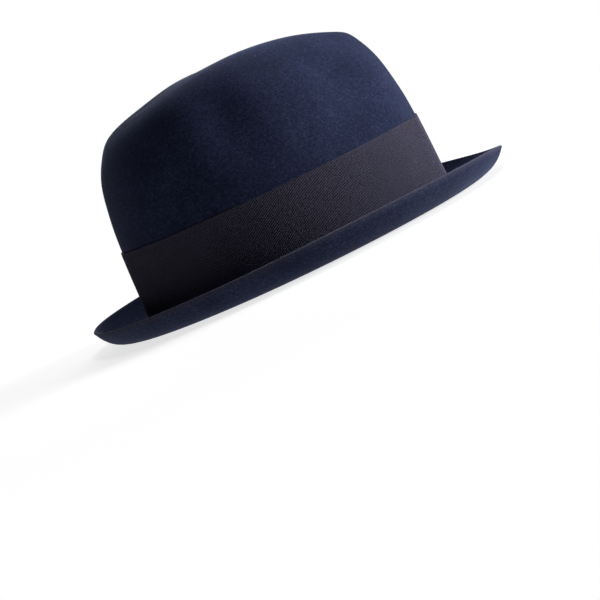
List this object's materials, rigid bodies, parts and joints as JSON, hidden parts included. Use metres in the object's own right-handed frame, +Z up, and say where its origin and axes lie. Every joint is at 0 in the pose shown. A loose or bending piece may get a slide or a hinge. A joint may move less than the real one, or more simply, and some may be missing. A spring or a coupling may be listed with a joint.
{
  "type": "fedora hat",
  "caption": "Soft felt fedora with a pinched crown, a crease pressed into the front of its rounded top, a narrow upturned brim, a wide ribbon band with a flat bow, and a sweatband inside.",
  "frame": {"origin": "under the middle of the brim's outline, in the plane of the brim's flat underside, which is what the hat stands on", "axes": "+Z up through the crown, -Y towards the front of the hat, +X towards the wearer's left"},
  "size_m": [0.2556, 0.2778, 0.1316],
  "materials": {
    "navy_felt": "brushed fur felt with a short, soft nap",
    "grosgrain_ribbon": "matte ribbed grosgrain with woven edges",
    "black_leather": "smooth, faintly grained, low sheen"
  },
  "bodies": {
    "root": {"felt_body": "navy_felt", "hat_band": "grosgrain_ribbon", "bow": "grosgrain_ribbon", "bow_keeper": "grosgrain_ribbon", "sweatband": "black_leather"}
  },
  "joints": []
}
